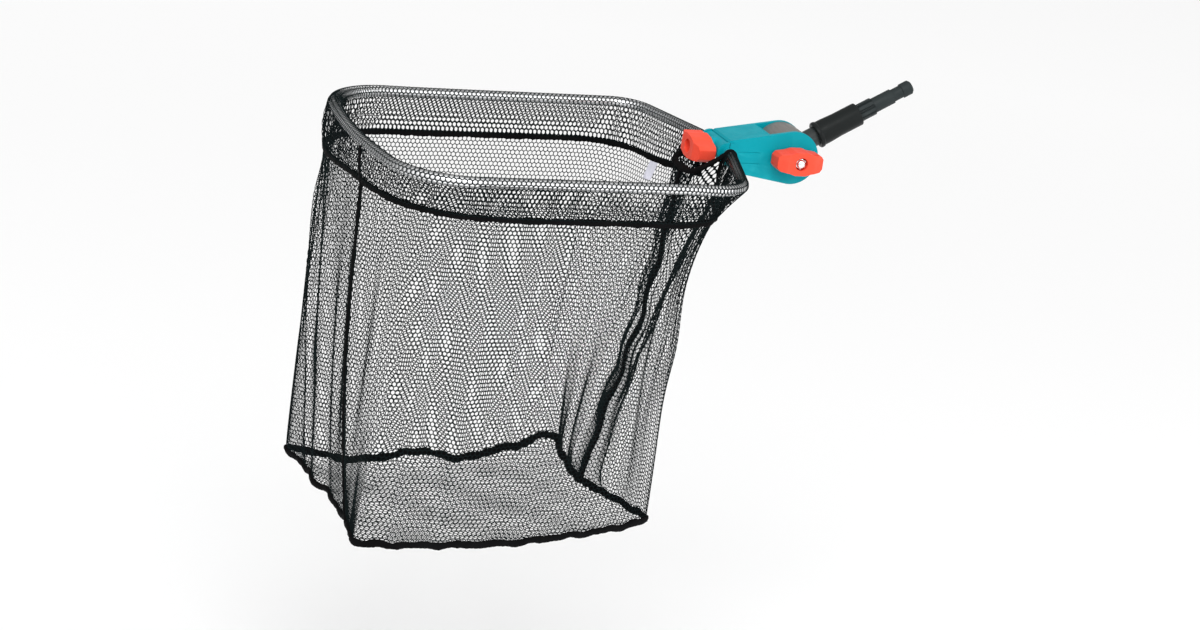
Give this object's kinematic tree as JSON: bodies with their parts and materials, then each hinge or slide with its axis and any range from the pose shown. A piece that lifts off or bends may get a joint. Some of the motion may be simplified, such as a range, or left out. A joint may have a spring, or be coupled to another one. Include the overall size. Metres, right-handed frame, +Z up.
{
  "type": "leaf skimmer net",
  "caption": "Deep black leaf net on a rounded aluminium tube frame, clamped in a tilting teal bracket with red wing knobs and a plug-in handle stub.",
  "frame": {"origin": "middle of the plug's shank, on its axis, which is where a pole holds the net", "axes": "+X from the net towards the handle, +Y along the clamp barrel, +Z up out of the net's mouth"},
  "size_m": [0.5998, 0.3356, 0.4431],
  "materials": {
    "bracket_plastic": "satin moulded teal plastic",
    "knob_plastic": "satin moulded red-orange plastic",
    "washer_steel": "zinc-plated",
    "screw_steel": "bright plated steel",
    "insert_brass": "turned brass",
    "plug_plastic": "fine-grained black plastic",
    "sleeve_plastic": "satin black plastic",
    "tube_aluminium": "bright drawn aluminium",
    "end_plug_plastic": "plain",
    "netting": "knitted polyester net",
    "seam_tape": "woven binding tape",
    "label_fabric": "blank satin ribbon"
  },
  "bodies": {
    "handle": {"hinge_head": "plug_plastic", "socket_sleeve": "sleeve_plastic", "plug_core": "plug_plastic"},
    "bracket": {"fork_bracket": "bracket_plastic", "clamp_bolt": "screw_steel", "pivot_bolt": "screw_steel", "pivot_cap_nut": "screw_steel"},
    "jaw": {"clamp_jaw": "bracket_plastic", "clamp_washer": "washer_steel"},
    "clamp_knob": {"clamp_knob": "knob_plastic", "clamp_knob_nut": "insert_brass"},
    "tilt_washer": {"pivot_washer": "washer_steel"},
    "tilt_knob": {"pivot_knob": "knob_plastic", "pivot_knob_nut": "insert_brass"},
    "net_frame": {"frame_tube": "tube_aluminium", "tube_end_plugs": "end_plug_plastic", "hem_band": "netting", "net_front_panel": "netting", "net_back_panel": "netting", "net_bottom": "netting", "band_seam": "seam_tape", "far_side_seam": "seam_tape", "near_side_seam": "seam_tape", "bottom_seam": "seam_tape", "notch_binding": "seam_tape", "care_label": "label_fabric"}
  },
  "joints": [
    {"name": "handle_tilt", "type": "hinge", "parent": "handle", "child": "bracket", "pos_m": [-0.10111, 0, -0.05838], "axis": [0, 1, 0], "range_deg": [-90, 75]},
    {"name": "frame_swing", "type": "hinge", "parent": "bracket", "child": "net_frame", "pos_m": [-0.17511, 0, -0.05538], "axis": [0, 1, 0], "range_deg": [-45, 60]},
    {"name": "jaw_travel", "type": "slide", "parent": "bracket", "child": "jaw", "axis": [-1, 0, 0], "range_m": [0, 0.00202]},
    {"name": "clamp_knob_turn", "type": "hinge", "parent": "jaw", "child": "clamp_knob", "pos_m": [-0.17511, 0, -0.05538], "axis": [-1, 0, 0], "range_deg": [0, 720]},
    {"name": "tilt_washer_travel", "type": "slide", "parent": "bracket", "child": "tilt_washer", "axis": [0, -1, 0], "range_m": [0, 0.00202]},
    {"name": "tilt_knob_turn", "type": "hinge", "parent": "tilt_washer", "child": "tilt_knob", "pos_m": [-0.10111, 0, -0.05838], "axis": [0, -1, 0], "range_deg": [0, 720]}
  ],
  "couplings": [
    {"joint": "jaw_travel", "follows": "clamp_knob_turn", "m_per_rad": 0.00015915},
    {"joint": "tilt_washer_travel", "follows": "tilt_knob_turn", "m_per_rad": 0.00015915}
  ]
}
